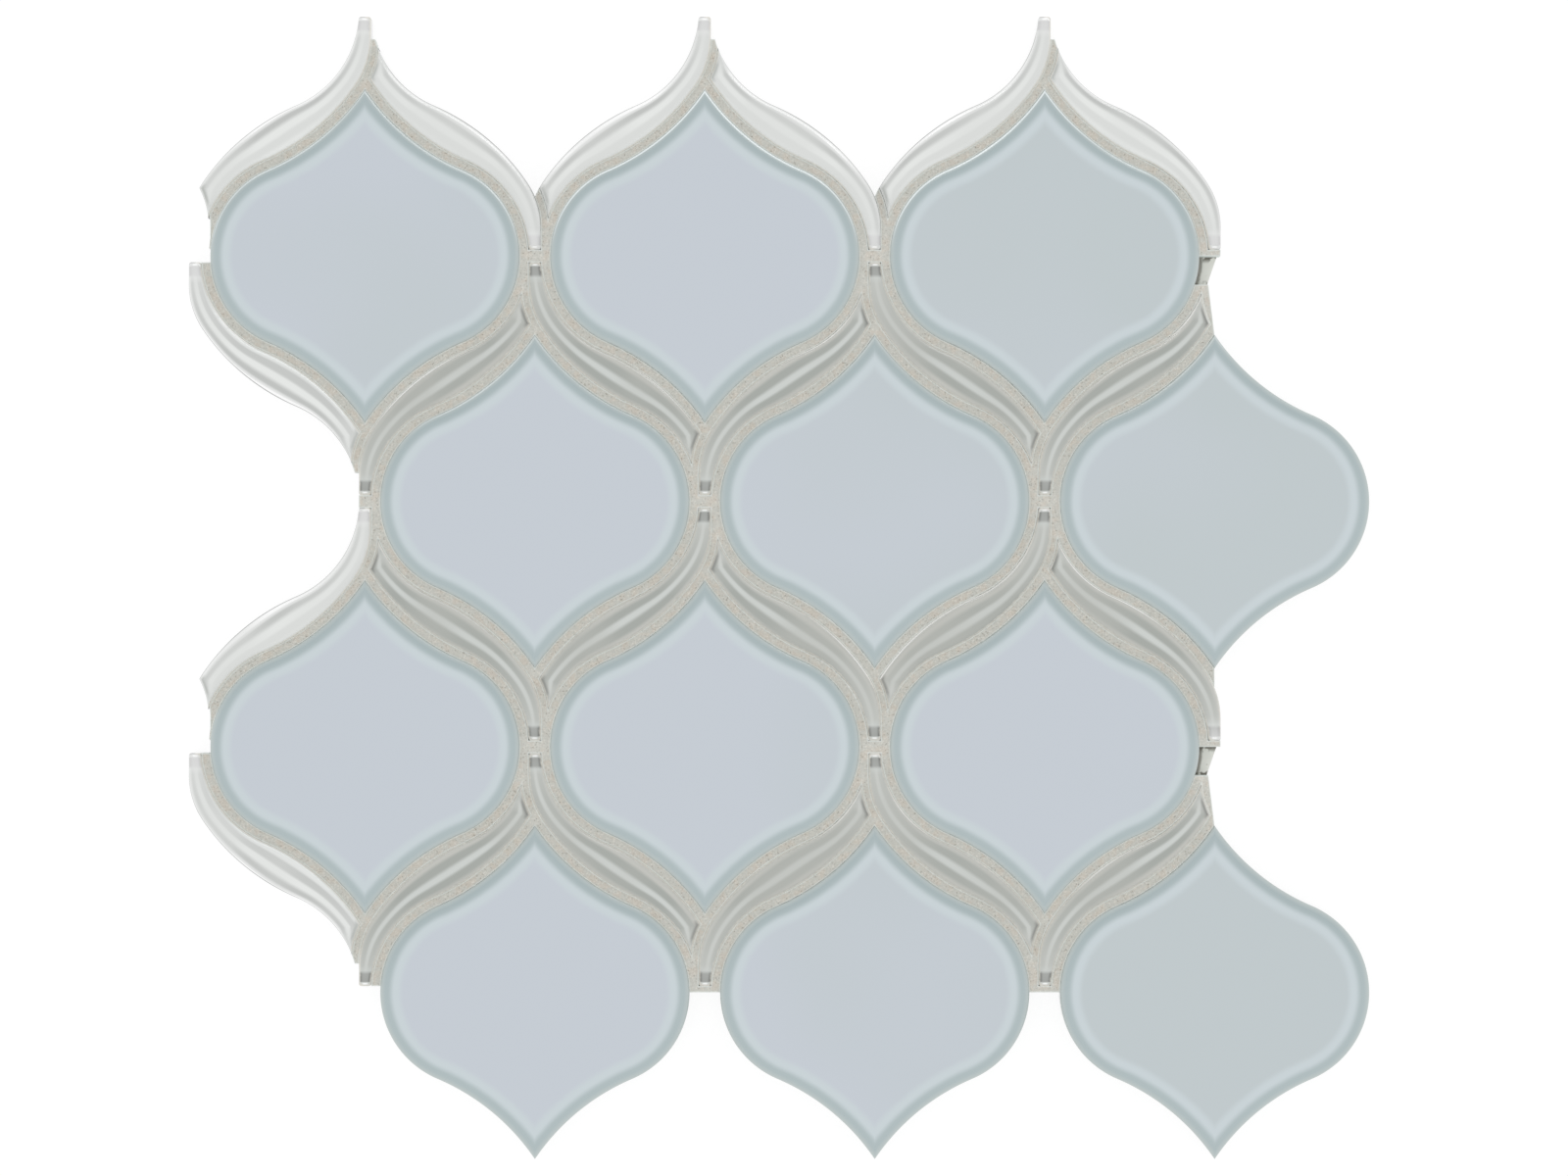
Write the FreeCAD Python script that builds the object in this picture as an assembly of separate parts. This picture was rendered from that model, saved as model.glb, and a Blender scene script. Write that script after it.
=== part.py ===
import FreeCAD, Part

import math
import os

from FreeCAD import Vector

# Arabesque glass mosaic sheet, lying face up. X runs to the right along a row, Y up the sheet, Z out of its face.
# Rows count from the top and columns from the left, from 0. All sizes are in millimetres.

# The lantern tile: width across the bellies, height from tip to tip, radius of a belly, and degrees between the
# two sides of a tip
TILE_WIDTH = 73.7
TILE_HEIGHT = 79.5
BELLY_RADIUS = 22.4
TIP_ANGLE = 68.08

# The sheet. Every second row is shifted right by half a pitch, and the rows between have the trim strips.
ROWS = 4
COLUMNS = 3

# The joint between two pieces of glass, and the narrower one between a pointed strip end and its blunt neighbour
JOINT = 2.2
POINT_JOINT = 1.8

# The strips' thin ends, or stems, run through the necks between two tiles: their width, where they turn straight,
# and where a blunt one stops, both measured from the middle of the neck
STEM_WIDTH = 2.9
STRAIGHT_LEVEL = 6.83
BLUNT_SETBACK = 1.5

# Heights, and the eased upper edge of the tiles
GLASS_THICKNESS = 8.0
TILE_EDGE = 1.9
GROUT_RECESS = 2.0
MESH_THICKNESS = 0.5

# The backing mesh is snipped straight, this far inside the sheet's outline and straying from that by a little
MESH_INSET = 1.5
SNIP_STRAY = 1.0

# What follows from these sizes
HALF_WIDTH = TILE_WIDTH / 2
HALF_HEIGHT = TILE_HEIGHT / 2
HALF_STEM = STEM_WIDTH / 2
HALF_NECK = HALF_STEM + JOINT
HALF_PITCH = HALF_WIDTH + HALF_NECK
GLASS_TOP = MESH_THICKNESS + GLASS_THICKNESS
GROUT_TOP = GLASS_TOP - GROUT_RECESS

# The belly arc is centred on the tile's middle line. The neck arc touches it and meets the tip at half its angle.
BELLY_CENTRE = Vector(HALF_WIDTH - BELLY_RADIUS, 0, 0)
TIP = Vector(0, HALF_HEIGHT, 0)
TIP_SLANT = math.radians(TIP_ANGLE / 2)
TIP_NORMAL = Vector(math.cos(TIP_SLANT), math.sin(TIP_SLANT), 0)
FROM_BELLY = TIP - BELLY_CENTRE
NECK_RADIUS = (FROM_BELLY.Length**2 - BELLY_RADIUS**2) / (BELLY_RADIUS - FROM_BELLY.dot(TIP_NORMAL)) / 2
NECK_CENTRE = TIP + TIP_NORMAL * NECK_RADIUS
SWEEP = math.atan2(NECK_CENTRE.y, NECK_CENTRE.x - BELLY_CENTRE.x)

# Past a tile's tip, the side of a strip turns on the flank arc until it runs straight through the next neck.
FLANK_RADIUS = HALF_NECK / (1 - TIP_NORMAL.x)
FLANK_CENTRE = TIP + TIP_NORMAL * FLANK_RADIUS

# The rows are as far apart as that neck, and the next row's lower tips reach this level above its middle.
COLUMN_PITCH = 2 * HALF_PITCH
ROW_PITCH = FLANK_CENTRE.y + STRAIGHT_LEVEL
TIP_LEVEL = ROW_PITCH - HALF_HEIGHT

# A tile's four sides, by the way they face from its middle
SIDES = {"upper_right": (1, 1), "upper_left": (-1, 1), "lower_right": (1, -1), "lower_left": (-1, -1)}


def polar(centre, radius, angle):
    return centre + Vector(math.cos(angle), math.sin(angle), 0) * radius


def arc(start, centre, end):
    """The shorter arc about the centre."""
    radius = (start - centre).Length
    middle = centre + ((start + end) / 2 - centre).normalize() * radius
    return Part.Arc(start, middle, end).toShape()


def facing_up(wire):
    face = Part.Face(wire)
    if face.normalAt(0, 0).z < 0:
        face.reverse()
    return face


def polygon(points):
    return facing_up(Part.makePolygon(points + points[:1]))


def mirrored(shape, side):
    """The shape, made for the upper right side, mirrored to another side."""
    across, up = SIDES[side]
    if across < 0:
        shape = shape.mirror(Vector(), Vector(1, 0, 0))
    if up < 0:
        shape = shape.mirror(Vector(), Vector(0, 1, 0))
    return shape


def mirrored_face(face, side):
    return facing_up(mirrored(face, side).OuterWire)


def tile_outline(grown):
    """A lantern tile's face at the origin, grown on all sides, with mitred tips."""
    belly_end = polar(BELLY_CENTRE, BELLY_RADIUS + grown, SWEEP)
    tip_drop = math.sqrt((NECK_RADIUS - grown) ** 2 - NECK_CENTRE.x**2)
    tip = Vector(0, NECK_CENTRE.y - tip_drop, 0)
    belly_side = Vector(HALF_WIDTH + grown, 0, 0)
    belly_start = Vector(belly_end.x, -belly_end.y, 0)
    belly = Part.Arc(belly_start, belly_side, belly_end).toShape()
    neck = arc(belly_end, NECK_CENTRE, tip)
    edges = [mirrored(neck, side) for side in SIDES]
    edges += [belly, mirrored(belly, "upper_left")]
    return facing_up(Part.Wire(Part.__sortEdges__(edges)))


def strip_side(joint, start_setback, end_setback):
    """The edges along one side of a strip: past the tile's belly, its neck and its tip, and into the next neck."""
    out = math.sqrt((BELLY_RADIUS + joint) ** 2 - start_setback**2)
    start = BELLY_CENTRE + Vector(out, start_setback, 0)
    belly_end = polar(BELLY_CENTRE, BELLY_RADIUS + joint, SWEEP)
    neck_end = TIP + TIP_NORMAL * joint
    flank_end = FLANK_CENTRE - Vector(FLANK_RADIUS - joint, 0, 0)
    stem_end = Vector(flank_end.x, ROW_PITCH - end_setback, 0)
    return [
        arc(start, BELLY_CENTRE, belly_end),
        arc(belly_end, NECK_CENTRE, neck_end),
        arc(neck_end, FLANK_CENTRE, flank_end),
        Part.LineSegment(flank_end, stem_end).toShape(),
    ]


def strip_outline(inner_joint, outer_joint, side_setback, tip_setback):
    """The face between a tile at the origin and the tile to its upper right, blunt at both ends.

    It begins in the neck at the tile's side and ends in the neck above the tile's tip."""
    half_turn = FreeCAD.Placement(
        Vector(), FreeCAD.Rotation(Vector(0, 0, 1), 180), Vector(HALF_PITCH, ROW_PITCH, 0) / 2
    ).toMatrix()
    inner = strip_side(inner_joint, side_setback, tip_setback)
    outer = [edge.transformShape(half_turn) for edge in strip_side(outer_joint, tip_setback, side_setback)]
    upper_end = Part.LineSegment(inner[-1].lastVertex().Point, outer[0].firstVertex().Point)
    lower_end = Part.LineSegment(outer[-1].lastVertex().Point, inner[0].firstVertex().Point)
    return facing_up(Part.Wire(inner + [upper_end.toShape()] + outer + [lower_end.toShape()]))


ROOM = strip_outline(0, 0, 0, 0)


def pointed_strip():
    """A strip as it lies on a tile's upper right side: blunt below, and above cut to the side of the blunt strip."""
    whole = strip_outline(JOINT, JOINT, BLUNT_SETBACK, BLUNT_SETBACK)
    beside = strip_outline(JOINT - POINT_JOINT, JOINT - POINT_JOINT, 0, 0)
    return whole.cut(mirrored_face(beside, "upper_left")).Faces[0]


def strip_for(side):
    """The strip on one side of a tile. The ends swap on the two sides that lean the other way."""
    strip = pointed_strip()
    across, up = SIDES[side]
    if across != up:
        strip = strip.rotated(Vector(HALF_PITCH, ROW_PITCH, 0) / 2, Vector(0, 0, 1), 180)
    return mirrored_face(strip, side)


def tile_place(row, column):
    return Vector((column + (row % 2) / 2) * COLUMN_PITCH, -row * ROW_PITCH, 0)


def in_sheet(row, column):
    return 0 <= row < ROWS and 0 <= column < COLUMNS


def outer_tile(row, column, side):
    """The row and column of the tile across a strip."""
    across, up = SIDES[side]
    return row - up, column if across > 0 else column - 1


PLACES = [(row, column) for row in range(ROWS) for column in range(COLUMNS)]
TRIMMED = [(row, column, side) for row, column in PLACES if row % 2 == 0 for side in SIDES]


def tile_faces():
    outline = tile_outline(0)
    return {(row, column): outline.translated(tile_place(row, column)) for row, column in PLACES}


def strip_faces():
    outlines = {side: strip_for(side) for side in SIDES}
    return {
        (row, column, side): outlines[side].translated(tile_place(row, column))
        for row, column, side in TRIMMED
    }


def bay(row, column, side):
    """The room that grout fills round one strip, up to the strip's own side where the outer tile is missing.

    It goes on to the middle of a neck where two tiles or two blunt ends face each other there, and at the right
    edge it closes the blunt end."""
    across, up = SIDES[side]
    outer_joint = 0 if in_sheet(*outer_tile(row, column, side)) else JOINT
    side_filled = in_sheet(row, column + across) or (across, up) == (1, 1)
    tip_filled = in_sheet(row - 2 * up, column) or (
        in_sheet(row - up, column - 1) and in_sheet(row - up, column)
    )
    setbacks = [0 if filled else BLUNT_SETBACK for filled in (side_filled, tip_filled)]
    outline = mirrored_face(strip_outline(0, outer_joint, *setbacks), side)
    return outline.translated(tile_place(row, column))


def beside_the_sheet():
    """What the grout leaves free round the sheet, where the next sheet's tiles and strips will go."""
    free = []
    room = tile_outline(JOINT)
    half = HALF_WIDTH + JOINT
    corners = [Vector(x, y, 0) for x, y in ((-1, -1), (1, -1), (1, 1), (-1, 1))]
    belly = polygon([Vector(corner.x * half, corner.y * STRAIGHT_LEVEL, 0) for corner in corners])
    for row in range(-1, ROWS + 1):
        for column in range(-1, COLUMNS + 1):
            if not in_sheet(row, column):
                place = tile_place(row, column)
                free += [room.translated(place), belly.translated(place)]
    above = polygon([
        Vector(0, STRAIGHT_LEVEL, 0),
        Vector(HALF_NECK, STRAIGHT_LEVEL, 0),
        Vector(HALF_NECK, TIP_LEVEL, 0),
        Vector(0, TIP_LEVEL, 0),
    ])
    below = polygon([
        Vector(-HALF_PITCH, 0, 0),
        Vector(HALF_NECK, 0, 0),
        Vector(HALF_NECK, -TIP_LEVEL, 0),
        Vector(0, -TIP_LEVEL, 0),
        Vector(-HALF_STEM, -STRAIGHT_LEVEL, 0),
        Vector(-HALF_PITCH, -STRAIGHT_LEVEL, 0),
    ])
    for row in range(0, ROWS, 2):
        free.append(ROOM.translated(tile_place(row, -1)))
        right_neck = tile_place(row, COLUMNS - 1) + Vector(HALF_PITCH, 0, 0)
        free += [above.translated(right_neck), below.translated(right_neck)]
    return free


def grout_outline(strips):
    bays = [bay(*trimmed) for trimmed in TRIMMED]
    filled = bays[0].multiFuse(bays[1:]).removeSplitter()
    return filled.cut(list(strips.values()) + beside_the_sheet()).Faces[0]


def mesh_outline(grout, glass):
    """The sheet's own outline drawn in, and the two bridges that stay bare at the right edge."""
    sheet = facing_up(grout.OuterWire).multiFuse(glass).removeSplitter()
    inset = sheet.Faces[0].OuterWire.makeOffset2D(-MESH_INSET)
    mesh = polygon(inset.discretize(Deflection=SNIP_STRAY)[:-1])
    bridge = polygon([
        Vector(-HALF_PITCH, STRAIGHT_LEVEL, 0),
        Vector(0, STRAIGHT_LEVEL, 0),
        Vector(HALF_STEM, BLUNT_SETBACK, 0),
        Vector(-HALF_STEM, -STRAIGHT_LEVEL, 0),
        Vector(-HALF_PITCH, -STRAIGHT_LEVEL, 0),
    ])
    right_necks = [tile_place(row, COLUMNS - 1) + Vector(HALF_PITCH, 0, 0) for row in range(0, ROWS, 2)]
    return mesh.multiFuse([bridge.translated(neck) for neck in right_necks]).removeSplitter().Faces[0]


def slab(outline, bottom, top):
    return outline.translated(Vector(0, 0, bottom)).extrude(Vector(0, 0, top - bottom))


def lantern_tile(outline):
    """A glass tile with its upper edge eased all round."""
    block = slab(outline, MESH_THICKNESS, GLASS_TOP)
    upper = max(block.Faces, key=lambda side: side.CenterOfMass.z)
    return block.makeChamfer(TILE_EDGE, upper.Edges)


def trim_strip(outline):
    return slab(outline, MESH_THICKNESS, GLASS_TOP)


def main():
    os.makedirs("parts", exist_ok=True)
    tiles = tile_faces()
    strips = strip_faces()
    glass = list(tiles.values()) + list(strips.values())
    grout = grout_outline(strips)

    # The glass is stored by rows, each piece as a solid of its own that touches no other.
    pieces = {
        "backing_mesh": slab(mesh_outline(grout, glass), 0, MESH_THICKNESS),
        "grout": slab(grout, MESH_THICKNESS, GROUT_TOP),
    }
    for row in range(ROWS):
        in_row = [lantern_tile(outline) for place, outline in tiles.items() if place[0] == row]
        pieces[f"lantern_tiles_row_{row + 1}"] = Part.Compound(in_row)
    for row in range(0, ROWS, 2):
        in_row = [trim_strip(outline) for place, outline in strips.items() if place[0] == row]
        pieces[f"trim_strips_row_{row + 1}"] = Part.Compound(in_row)

    # The sheet is stored with the middle of its box over the origin and its back on the ground.
    middle = Part.Compound(glass).BoundBox.Center
    for name, piece in pieces.items():
        piece.translated(-middle).exportStep(f"parts/{name}.step")


if __name__ == "__main__":
    main()
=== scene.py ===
import math
import random

import bmesh
import bpy
from mathutils import Matrix, Vector
from mathutils.bvhtree import BVHTree


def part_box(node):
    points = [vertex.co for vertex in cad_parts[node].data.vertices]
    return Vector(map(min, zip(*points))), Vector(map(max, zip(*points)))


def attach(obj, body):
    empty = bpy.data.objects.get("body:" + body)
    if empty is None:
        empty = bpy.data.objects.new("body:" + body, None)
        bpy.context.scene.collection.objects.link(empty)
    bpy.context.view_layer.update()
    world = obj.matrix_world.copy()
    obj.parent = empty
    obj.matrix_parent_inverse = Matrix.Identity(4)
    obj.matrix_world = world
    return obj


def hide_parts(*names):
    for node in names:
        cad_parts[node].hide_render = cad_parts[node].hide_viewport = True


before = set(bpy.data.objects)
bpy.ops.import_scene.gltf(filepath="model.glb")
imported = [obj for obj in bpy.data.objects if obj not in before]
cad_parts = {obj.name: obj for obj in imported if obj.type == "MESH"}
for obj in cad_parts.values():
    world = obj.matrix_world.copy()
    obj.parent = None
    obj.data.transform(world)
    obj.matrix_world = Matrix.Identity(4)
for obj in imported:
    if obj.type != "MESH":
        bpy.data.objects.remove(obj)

bl_info = {
    "name": "Arabesque mosaic sheet",
    "version": (1, 0, 0),
    "blender": (4, 5, 0),
    "location": "3D View > Sidebar > Mosaic",
    "description": "Builds a grouted sheet of glass lantern tiles and trim strips",
    "category": "Add Mesh",
}

# The heights of the glass come from the solids.
GLASS_BOTTOM, GLASS_TOP = (corner.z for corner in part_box("lantern_tiles_row_1"))
ROWS = 4
COLUMNS = 3

# A tile's four sides, by the way they face from its middle
SIDES = {"upper_right": (1, 1), "upper_left": (-1, 1), "lower_right": (1, -1), "lower_left": (-1, -1)}

# How finely a tile's arcs and its softened edge are divided, and the rings between the edge and the flat face
BELLY_STEPS = 40
NECK_STEPS = 30
EDGE_STEPS = 8
FACE_RINGS = 3

# Steps along a strip's two long sides, from its blunt end: the inner one's belly, neck, flank and cut, and
# the outer one's stem, flank, neck and belly. Both add up to the same number.
INNER_STEPS = (28, 29, 1, 7)
OUTER_STEPS = (5, 11, 30, 19)

# Cuts that run lengthwise between the two sides
STRIP_CUTS = 23

# Each lamp's place, the point that it faces, and its width and depth
RIM_LAMP = ((0.05, 0.31, 0.11), (0.05, 0.08, 0), 0.30, 0.17)
SIDE_LAMP = ((0.0, 0.42, 0.14), (0.0, 0.08, 0), 0.80, 0.17)

UP = Vector((0, 0, 1))

# Points this near to each other are joined, the wider distance where a shape was spun or mirrored.
MERGE = 1e-6
WELD = 5 * MERGE

# Edges with a sharper turn than this look hard, and a normal with at least this height faces up.
HARD_ANGLE = math.radians(35)
FACING_UP = 0.9

SEED = 17861


def length(name, description, default):
    return bpy.props.FloatProperty(
        name=name, description=description, default=default, min=0, unit="LENGTH", precision=5
    )


def degrees(name, description, default):
    return bpy.props.FloatProperty(
        name=name, description=description, default=math.radians(default), subtype="ANGLE"
    )


def number(name, description, default, unit="NONE"):
    return bpy.props.FloatProperty(name=name, description=description, default=default, min=0, unit=unit)


def linear(red, green, blue):
    """A colour given as it looks on screen, 0 to 255, as the linear numbers that a shader takes."""
    parts = [value / 255 for value in (red, green, blue)]
    return [part / 12.92 if part <= 0.04045 else ((part + 0.055) / 1.055) ** 2.4 for part in parts]


def colour(name, description, red, green, blue):
    return bpy.props.FloatVectorProperty(
        name=name,
        description=description,
        default=linear(red, green, blue),
        min=0,
        max=1,
        size=3,
        subtype="COLOR",
    )


class SheetSizes(bpy.types.PropertyGroup):
    """The sheet's lengths and angles"""

    tile_width: length("Tile width", "Across the bellies of a lantern tile", 0.0737)
    tile_height: length("Tile height", "From tip to tip of a lantern tile", 0.0795)
    belly_radius: length("Belly radius", "Radius of a tile's belly arcs", 0.0224)
    tip_angle: degrees("Tip angle", "Between the two sides of a tile's tip", 68.08)
    joint: length("Joint", "Grout joint between two pieces of glass", 0.0022)
    point_joint: length("Point joint", "Joint between a pointed end and its blunt neighbour", 0.0018)
    stem_width: length("Stem width", "Width of a strip's thin ends", 0.0029)
    straight_level: length("Straight level", "Where the stems turn straight, from the neck's middle", 0.00683)
    blunt_setback: length("Blunt setback", "Where a blunt end stops, from the neck's middle", 0.0015)
    edge_radius: length("Edge radius", "Radius of a tile's softened edge at its wall", 0.0009)
    edge_width: length("Edge width", "How far a tile's softened edge reaches inwards", 0.0030)
    edge_turn: degrees("Edge turn", "Where the tight part of the edge ends, from the wall", 65)
    face_ring: length("Face ring", "How far from the edge the tile's colour has settled", 0.0070)
    strip_edge: length("Strip edge", "Radius of a strip's softened edges", 0.0015)
    corner_radius: length("Corner radius", "Rounding of a blunt end's corners", 0.0006)
    # Where the painted shade along a pointed end's cut lies
    cut_shade_inset: length("Smudge inset", "From a pointed end's cut to the middle of its smudge", 0.000675)
    cut_shade_reach: length("Smudge reach", "From the middle of that smudge to its border", 0.0006)
    end_reach: length("End reach", "How far the cut ends show in a strip's glass", 0.0060)
    grout_lip: length("Grout lip", "Width of the grout's raised lip along the glass", 0.0004)
    grout_rise: length("Grout rise", "How far the grout's lip climbs the glass", 0.0004)
    grout_sag: length("Grout sag", "How far the grout lies below its lip", 0.00025)
    thread_pitch: length("Thread pitch", "Distance between threads of the backing mesh", 0.005)
    thread_width: length("Thread width", "Thickness of a thread of the backing mesh", 0.00045)
    film_shade: length("Film shade", "How far the shade beside a tile reaches over the bare film", 0.0025)


class SheetColours(bpy.types.PropertyGroup):
    """The colours as they look on screen"""

    tile_rim: colour("Tile rim", "Glass at the very edge of a tile", 188, 197, 196)
    # Painted shadow of the tile's wall, in a hairline where it meets the grout
    tile_seam_shadow: colour("Tile seam", "Hairline where a tile's edge meets the grout", 156, 163, 160)
    # Painted highlight
    tile_glint: colour("Tile glint", "Thin light line along the upper edges of a tile", 236, 244, 246)
    # The band and its shade are painted shade and reflection seen through the softened edge; the ring is
    # painted light gathered inside it.
    tile_band: colour("Tile band", "Dark band inside a tile's edge", 173, 186, 188)
    tile_shade: colour("Tile shade", "The same band where the edge faces up the sheet", 151, 166, 169)
    tile_ring: colour("Tile ring", "Light ring inside the dark band", 199, 209, 213)
    tile_face: colour("Tile face", "Middle of a tile", 195, 202, 210)
    # A painted reflection, whose share also follows each tile's own tone
    tile_reflection_tint: colour("Tile tint", "Greener reflection, mostly in the tiles at the right", 190, 199, 202)
    # Painted refraction: the strips' edges, bands and streaks stand for grout, shade and light seen through
    # the rounded glass.
    strip_edge: colour("Strip edge", "Edge of a strip between two tiles", 194, 194, 188)
    strip_band: colour("Strip band", "Dark bands of a strip between two tiles", 162, 166, 161)
    strip_streak: colour("Strip streak", "Light middle streak of a strip between two tiles", 203, 207, 204)
    # Painted shade: the blunt end's face seen through the glass
    strip_end: colour("Strip end", "Dark block behind a blunt end between two tiles", 104, 104, 100)
    # The same painted refraction for strips at the sheet's border, over white; their light lines are painted
    # highlights.
    free_edge: colour("Free edge", "Light lines of a strip at the sheet's border", 228, 229, 228)
    free_band: colour("Free band", "Grey band of a strip at the sheet's border", 188, 190, 188)
    free_body: colour("Free body", "Body of a strip at the sheet's border", 216, 218, 216)
    free_streak: colour("Free streak", "Light middle streak of a strip at the sheet's border", 229, 231, 229)
    # Painted shade of the blunt end's face, paler over white
    free_end: colour("Free end", "Grey block behind a blunt end at the sheet's border", 204, 204, 204)
    free_line: colour("Free line", "Thin outline of a strip at the sheet's border", 112, 114, 112)
    shine: colour("Shine", "Glints on the strips and the outermost line at the sheet's border", 255, 255, 255)
    # Painted shade beside the tile, also used for the film's marks
    gap: colour("Gap", "Shade beside the tile on the bare film, and the marks on it", 96, 92, 80)
    grout_edge: colour("Grout edge", "Smooth lip of the grout where it laps the glass", 231, 237, 234)
    grout_light: colour("Grout light", "Light grains of the grout", 228, 225, 217)
    grout_body: colour("Grout body", "Main colour of the grout", 205, 205, 198)
    grout_dark: colour("Grout dark", "Dark grains of the grout", 160, 155, 145)
    grout_warm: colour("Grout warm", "Sandy patches of the grout", 211, 201, 188)
    thread: colour("Thread", "Threads of the backing mesh", 226, 227, 224)
    film: colour("Film", "Bare adhesive film at the right edge", 238, 238, 231)
    backdrop: colour("Backdrop", "Floor under the sheet", 255, 255, 255)


class StageSettings(bpy.types.PropertyGroup):
    """The camera, the light and the floor"""

    camera_height: length("Camera height", "From the glass to the camera", 1.6)
    view_width: length("View width", "Width of the camera's view at the glass", 0.3734)
    view_shift: length("View shift", "How far the camera stands right of the sheet's middle", 0.0012)
    rim_power: number("Rim power", "Power of the lamp that draws bright lines on the rims", 0.3, "POWER")
    side_power: number("Side power", "Power of the wide lamp for the faint lines", 0.35, "POWER")
    sky_light: number("Sky light", "Strength of the soft light from all round", 1.0)
    floor_half: length("Floor half width", "From the middle of the floor to its border", 3)
    floor_glow: number("Floor glow", "Strength of the white that the floor shows", 1.04)
    floor_share: number("Floor share", "Share of that white, where the rest keeps the sheet's shadow", 0.85)


class Plan:
    """The arcs of the pattern on a tile's upper right side, worked out as in the solids."""

    def __init__(self, sizes):
        half_width = sizes.tile_width / 2
        self.tip_slant = sizes.tip_angle / 2
        self.half_stem = sizes.stem_width / 2
        self.half_neck = self.half_stem + sizes.joint
        self.half_pitch = half_width + self.half_neck
        self.belly_radius = sizes.belly_radius
        self.belly = Vector((half_width - sizes.belly_radius, 0, 0))
        self.tip = Vector((0, sizes.tile_height / 2, 0))
        self.tip_normal = Vector((math.cos(self.tip_slant), math.sin(self.tip_slant), 0))
        reach = self.tip - self.belly
        spare = self.belly_radius - reach.dot(self.tip_normal)
        self.neck_radius = (reach.length_squared - self.belly_radius**2) / spare / 2
        self.neck = self.tip + self.tip_normal * self.neck_radius
        self.sweep = heading(self.neck - self.belly)
        self.flank_radius = self.half_neck / (1 - self.tip_normal.x)
        self.flank = self.tip + self.tip_normal * self.flank_radius
        self.row_pitch = self.flank.y + sizes.straight_level

        # Half way to the tile at the upper right: a half turn about this swaps the two sides of a strip.
        self.middle = Vector((self.half_pitch, self.row_pitch, 0)) / 2

        # A strip's point is cut to the side of the strip that runs up the tile's upper left.
        self.cut = Vector((-self.flank.x, self.flank.y, 0))
        self.cut_radius = self.flank_radius - sizes.joint + sizes.point_joint

    def place(self, row, column):
        """Where a tile's middle lies in the sheet, whose own middle is over the origin."""
        low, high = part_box("lantern_tiles_row_1")
        corner = Vector((low.x, high.y, 0))
        first = corner + Vector((self.half_pitch - self.half_neck, -self.tip.y, 0))
        across = (column + (row % 2) / 2) * 2 * self.half_pitch
        return first + Vector((across, -row * self.row_pitch, 0))


def heading(direction):
    return math.atan2(direction.y, direction.x)


def meeting(centre_a, radius_a, centre_b, radius_b):
    """Where two circles cross on the right of the way from a to b."""
    way = centre_b - centre_a
    along = (radius_a**2 - radius_b**2 + way.length_squared) / (2 * way.length)
    off = math.sqrt(radius_a**2 - along**2)
    ahead = way.normalized()
    return centre_a + ahead * along + ahead.cross(UP) * off


def sizes_now():
    return bpy.context.scene.sheet_sizes


def colours_now():
    return bpy.context.scene.sheet_colours


def stage_now():
    return bpy.context.scene.sheet_stage


def finish_mesh(bm, name, material):
    """Turns the faces outwards, keeps hard corners hard and makes the piece's object."""
    bmesh.ops.recalc_face_normals(bm, faces=bm.faces)
    for face in bm.faces:
        face.smooth = True
    for edge in bm.edges:
        edge.smooth = not (edge.is_manifold and edge.calc_face_angle(0) > HARD_ANGLE)
    mesh = bpy.data.meshes.new(name)
    bm.to_mesh(mesh)
    bm.free()
    mesh.materials.append(material)
    piece = bpy.data.objects.new(name, mesh)
    bpy.context.scene.collection.objects.link(piece)
    return piece


def hand_over(piece, slot, *nodes):
    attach(piece, "root")
    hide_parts(*nodes)


def mark(bm, layer_name, verts, value):
    layer = bm.verts.layers.float.get(layer_name) or bm.verts.layers.float.new(layer_name)
    for vert in verts:
        vert[layer] = value


def whole(bm):
    return bm.verts[:] + bm.edges[:] + bm.faces[:]


def border(bm):
    return [edge for edge in bm.edges if edge.is_boundary]


def fill_holes(bm):
    bmesh.ops.holes_fill(bm, edges=border(bm), sides=0)


# Lantern tiles


def tile_section(bm, sizes):
    """Half a cut through the tile at its belly: its wall, its softened edge and the rings of its face.

    The edge is a tight arc beside the wall and a wide one that ends flat."""
    tight = sizes.edge_radius
    wide = (sizes.edge_width - tight * (1 - math.cos(sizes.edge_turn))) / math.cos(sizes.edge_turn)
    wall_top = GLASS_TOP - wide * (1 - math.sin(sizes.edge_turn)) - tight * math.sin(sizes.edge_turn)
    outline = [(0.0, GLASS_BOTTOM)]
    for step in range(EDGE_STEPS + 1):
        turn = sizes.edge_turn * step / EDGE_STEPS
        outline.append((tight * (1 - math.cos(turn)), wall_top + tight * math.sin(turn)))
    for step in range(1, EDGE_STEPS + 1):
        turn = sizes.edge_turn + (math.pi / 2 - sizes.edge_turn) * step / EDGE_STEPS
        outline.append((sizes.edge_width - wide * math.cos(turn), GLASS_TOP - wide * (1 - math.sin(turn))))
    for ring in range(1, FACE_RINGS + 1):
        inwards = (sizes.face_ring - sizes.edge_width) * ring / FACE_RINGS
        outline.append((sizes.edge_width + inwards, GLASS_TOP))
    inset_layer = bm.verts.layers.float.new("inset")
    verts = []
    for inset, height in outline:
        vert = bm.verts.new((sizes.tile_width / 2 - inset, 0, height))
        vert[inset_layer] = inset / sizes.face_ring
        verts.append(vert)
    edges = [bm.edges.new(pair) for pair in zip(verts, verts[1:])]
    return verts + edges


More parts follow.
